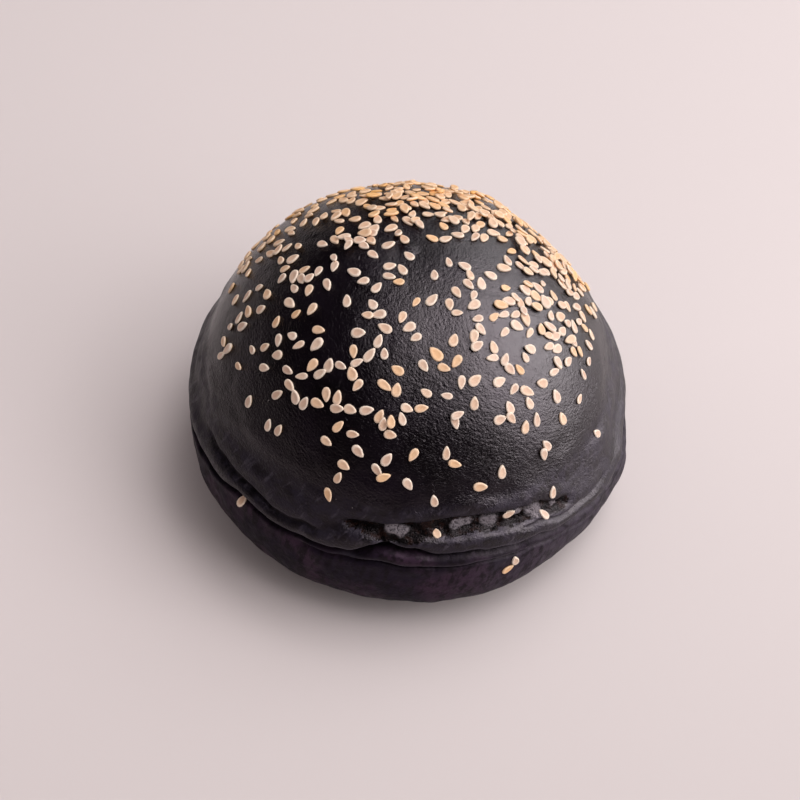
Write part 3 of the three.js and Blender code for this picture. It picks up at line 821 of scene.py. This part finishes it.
# %% Shine and grain of the glaze
smooth_places = remap(tree, patches, 0.3, 0.7, 0.145, 0.205)
crown_roughness = combine(tree, "ADD", smooth_places, remap(tree, grain, 0.3, 0.7, 0, 0.08))
low_roughness = remap(tree, mottle, 0, 1, 0.38, 0.54)
put(tree, shader.inputs["Roughness"], mix_values(tree, lower, crown_roughness, low_roughness))
put(tree, shader.inputs["Specular IOR Level"], 0.24)
put(tree, shader.inputs["Specular Tint"], (1.0, 0.86, 0.92, 1))

fine = combine(tree, "ADD", combine(tree, "MULTIPLY", grain, 0.9), combine(tree, "MULTIPLY", strokes, 0.7))
raised = combine(tree, "ADD", fine, leather)
height = combine(tree, "SUBTRACT", raised, combine(tree, "MULTIPLY", pits, 0.3))
bumped = {"Strength": 0.85, "Distance": 0.2 * MM, "Height": height}
put(tree, shader.inputs["Normal"], add_node(tree, "ShaderNodeBump", bumped, "Normal"))
crust.data.materials.append(dome_material)
print("glaze nodes:", len(tree.nodes))

# %% [markdown]
# ## The matte heel
#
# No glaze reached the heel, which stays matte and shows the dough's own colour: purple to blue-black, in
# blotches, with dark upright streaks where it stretched. It is painted a touch paler to the right, as
# light where the lamps fall, and it has the same painted groove shade and lip highlight as the glaze. The
# same noises at other widths do it, with a low specular level so that the floor doesn't shine in it.

# %% Matte heel
heel_material, tree, shader = new_material("matte_heel")
HEEL_PURPLE = (0.032, 0.0155, 0.0300, 1)
HEEL_BLUE = (0.0098, 0.0060, 0.0140, 1)
HEEL_DARK = (0.0045, 0.0025, 0.0045, 1)
HEEL_PAINTED_LIGHT = (0.044, 0.035, 0.049, 1)
leather = noise(tree, 2.6, 4.0, 0.65)
streaks = noise(tree, 1.5, 3.0, 0.65, stretch=(15, 2.2))
blotches = noise(tree, 9, 2.0, 0.5)
place = add_node(tree, "ShaderNodeTexCoord", {}, "Object")
rightward = add_node(tree, "ShaderNodeSeparateXYZ", {"Vector": place}, "X")
heel_colour = mix_colours(tree, remap(tree, blotches, 0.4, 0.6), HEEL_BLUE, HEEL_PURPLE)
# Painted light: the heel turns paler to the right, where the lamps fall.
heel_colour = mix_colours(tree, remap(tree, rightward, 0.008, 0.035, 0, 0.8), heel_colour, HEEL_PAINTED_LIGHT)
heel_colour = mix_colours(tree, remap(tree, streaks, 0.45, 0.6, 0, 0.85), heel_colour, HEEL_DARK)
# Painted shade in the heel's groove.
heel_colour = mix_colours(tree, attribute(tree, "groove"), heel_colour, SOOT_AND_GROOVE_SHADE)
# Painted highlight along the lip's edge.
put(tree, shader.inputs["Base Color"], mix_colours(tree, attribute(tree, "edge"), heel_colour, EDGE_HIGHLIGHT_GREY))
put(tree, shader.inputs["Roughness"], remap(tree, leather, 0.3, 0.7, 0.5, 0.7))
put(tree, shader.inputs["Specular IOR Level"], 0.1)
put(tree, shader.inputs["Specular Tint"], (1.0, 0.82, 0.93, 1))
rough_heel = combine(tree, "ADD", leather, combine(tree, "MULTIPLY", streaks, 0.6))
bumped = {"Strength": 0.8, "Distance": 0.35 * MM, "Height": rough_heel}
put(tree, shader.inputs["Normal"], add_node(tree, "ShaderNodeBump", bumped, "Normal"))
crust.data.materials.append(heel_material)
print("heel nodes:", len(tree.nodes))

# %% [markdown]
# ## The torn skin
#
# Where the skin tore, the crumb under it is rough, sooty and a little rusty, and a few chips of glaze
# still cling to it, painted pale grey as the highlights they catch. A mask on the glaze would keep its
# shine, so the band has a dull material of its own, whose chips are an attribute on the vertices.

# %% Torn skin
torn_material, tree, shader = new_material("torn_skin")
RUST = (0.0120, 0.0042, 0.0028, 1)
CHIP_HIGHLIGHT_GREY = (0.190, 0.165, 0.180, 1)
CHIP_DARK = (0.040, 0.034, 0.040, 1)
crumbs = noise(tree, 0.5, 3.0, 0.6)
# Painted highlight: the chips are grainy pale grey, as the glints they catch.
chip_highlight_colour = mix_colours(tree, remap(tree, crumbs, 0.36, 0.5), CHIP_DARK, CHIP_HIGHLIGHT_GREY)
bare_colour = mix_colours(tree, remap(tree, noise(tree, 1.3), 0.5, 0.65), SOOT_AND_GROOVE_SHADE, RUST)
put(tree, shader.inputs["Base Color"], mix_colours(tree, attribute(tree, "chip"), bare_colour, chip_highlight_colour))
put(tree, shader.inputs["Roughness"], remap(tree, crumbs, 0.3, 0.7, 0.2, 0.4))
put(tree, shader.inputs["Specular IOR Level"], 0.1)
put(tree, shader.inputs["Specular Tint"], (1.0, 0.82, 0.88, 1))
bumped = {"Strength": 1.0, "Distance": 0.35 * MM, "Height": crumbs}
put(tree, shader.inputs["Normal"], add_node(tree, "ShaderNodeBump", bumped, "Normal"))
crust.data.materials.append(torn_material)
print("torn nodes:", len(tree.nodes))

# %% [markdown]
# ## The sesame
#
# Hulled seeds are cream with a paler ridge, and the oven turns some of them gold. More gold is painted
# on as warm light towards the back and as warm shade on each seed's underside. One material serves all
# of them: each seed carries its own tone and how gold it is, so no two neighbours look alike. They
# are dry, with only a faint shine.

# %% Sesame material
seed_material, tree, shader = new_material("sesame")
CREAM = (0.72, 0.52, 0.40, 1)
IVORY = (0.88, 0.74, 0.62, 1)
TAN = (0.58, 0.38, 0.28, 1)
GOLD = (0.86, 0.46, 0.16, 1)
middle = mix_colours(tree, attribute(tree, "shade"), TAN, CREAM)
hull = mix_colours(tree, attribute(tree, "rim"), middle, IVORY)
mottled = mix_colours(tree, remap(tree, noise(tree, 0.5), 0.4, 0.75, 0, 0.35), hull, TAN)
put(tree, shader.inputs["Base Color"], mix_colours(tree, attribute(tree, "toast_and_warm_light"), mottled, GOLD))
put(tree, shader.inputs["Roughness"], remap(tree, noise(tree, 0.8), 0.3, 0.7, 0.42, 0.6))
put(tree, shader.inputs["Specular IOR Level"], 0.08)
bumped = {"Strength": 0.3, "Distance": 0.06 * MM, "Height": noise(tree, 0.35)}
put(tree, shader.inputs["Normal"], add_node(tree, "ShaderNodeBump", bumped, "Normal"))
sesame.data.materials.append(seed_material)
print("seed nodes:", len(tree.nodes))

# %% [markdown]
# ## Floor
#
# The bun stands on a plain pale floor, with shade painted on it, darker towards the front and right where
# the light falls off. A single large square is enough, because its far edges lie outside the picture.

# %% Pale floor
floor_mesh = bpy.data.meshes.new("floor")
floor_mesh.from_pydata([(-2, -2, 0), (2, -2, 0), (2, 2, 0), (-2, 2, 0)], [], [(0, 1, 2, 3)])
floor = bpy.data.objects.new("floor", floor_mesh)
bpy.context.scene.collection.objects.link(floor)
floor_material, tree, shader = new_material("pale_floor")
PALE = (0.66, 0.575, 0.565, 1)
PALE_FALLOFF_SHADE = (0.575, 0.50, 0.49, 1)
place = add_node(tree, "ShaderNodeTexCoord", {}, "Object")
forwards = {0: place, 1: (0.35, -1, 0)}
distance = add_node(tree, "ShaderNodeVectorMath", forwards, "Value", operation="DOT_PRODUCT")
# Painted shade: darker towards the front and right, where the light falls off.
floor_colour = mix_colours(tree, remap(tree, distance, -0.01, 0.13), PALE, PALE_FALLOFF_SHADE)
put(tree, shader.inputs["Base Color"], floor_colour)
put(tree, shader.inputs["Roughness"], 0.9)
floor.data.materials.append(floor_material)
print("floor side, m:", floor.dimensions.x)

# %% [markdown]
# ## Light
#
# The photo has a soft, slightly pink light with one large sheen on the right of the dome. Three soft
# boxes stand to the right, above and behind, and the room fills in the shadow. They are hidden from
# reflections, and two cards are seen only there: a large one to the right and a dim one behind. So the
# shade on the floor and the sheen on the glaze can be set apart from each other.

# %% Light and world
BOX_DISTANCE = 1.2
BOX_SIZE = (0.9, 0.9)
CARD_DISTANCE = 1.32
# Soft boxes as (name, azimuth, elevation, watts)
SOFT_BOXES = [("side_box", -25, 30, 7.1), ("top_box", -15, 65, 6.6), ("back_box", 42, 60, 4.0)]
# Cards as (name, azimuth, elevation, size, watts)
CARDS = [("gloss_card", 6, 40, (1.5, 2.0), 129), ("rear_card", 62, 20, (0.7, 0.8), 6.4)]


def soft_light(name, azimuth, elevation, distance, size, watts, colour=(1, 1, 1)):
    """A rectangular area light in a direction from the bun, facing it."""
    light = bpy.data.lights.new(name, "AREA")
    light.shape = "RECTANGLE"
    light.size, light.size_y = size
    light.energy = watts
    light.color = colour
    lamp = bpy.data.objects.new(name, light)
    a, e = np.radians(azimuth), np.radians(elevation)
    lamp.location = Vector((np.cos(a) * np.cos(e), np.sin(a) * np.cos(e), np.sin(e))) * distance
    lamp.rotation_euler = (-lamp.location).to_track_quat("-Z", "Y").to_euler()
    bpy.context.scene.collection.objects.link(lamp)
    return lamp


for name, azimuth, elevation, watts in SOFT_BOXES:
    box = soft_light(name, azimuth, elevation, BOX_DISTANCE, BOX_SIZE, watts, (1.0, 0.99, 1.0))
    box.visible_glossy = False
for name, azimuth, elevation, size, watts in CARDS:
    card = soft_light(name, azimuth, elevation, CARD_DISTANCE, size, watts)
    card.visible_diffuse = False
world = bpy.data.worlds.new("studio")
world.use_nodes = True
background = world.node_tree.nodes["Background"]
background.inputs["Color"].default_value = (1.03, 0.97, 0.98, 1)
background.inputs["Strength"].default_value = 0.32
world.cycles_visibility.glossy = False
bpy.context.scene.world = world
bpy.context.scene.view_settings.view_transform = "Standard"
print("lights:", len(bpy.data.lights))

# %% [markdown]
# ## Camera
#
# The photo looks down on the bun at 47 degrees, from the distance that its perspective asks. The focal
# length is given in pixels of an 800 pixel picture, as it was fitted. The bun isn't quite in the middle,
# so the camera is aimed to the side of it by the pixels between them.

# %% Camera
TILT = np.radians(47)
CAMERA_DISTANCE = 450
LOOK_HEIGHT = 30
FOCAL_PIXELS = 2042.4
PICTURE_SIDE = 800
BUN_PIXEL = (408.3, 363.3)
SENSOR = 36

camera_data = bpy.data.cameras.new("camera")
camera_data.sensor_width = SENSOR
camera_data.lens = FOCAL_PIXELS * SENSOR / PICTURE_SIDE
camera_data.clip_start = 0.01
camera = bpy.data.objects.new("camera", camera_data)
forward = np.array([0, np.cos(TILT), -np.sin(TILT)])
upward = np.array([0, np.sin(TILT), np.cos(TILT)])
right = np.array([1, 0, 0])
eye = np.array([0, 0, LOOK_HEIGHT]) - forward * CAMERA_DISTANCE
aside = right * (PICTURE_SIDE / 2 - BUN_PIXEL[0]) + upward * (BUN_PIXEL[1] - PICTURE_SIDE / 2)
aim = forward * FOCAL_PIXELS + aside
camera.location = Vector(eye * MM)
camera.rotation_euler = Vector(aim).to_track_quat("-Z", "Y").to_euler()
bpy.context.scene.collection.objects.link(camera)
bpy.context.scene.camera = camera
print("lens, mm:", round(camera_data.lens, 1))

# %% [markdown]
# ## Hand over
#
# The crust and the seeds ride on the one body and replace its plain solid, each with its own finish.

# %% Hand over
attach(crust, "root")
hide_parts("bun")
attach(sesame, "root")
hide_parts("bun")
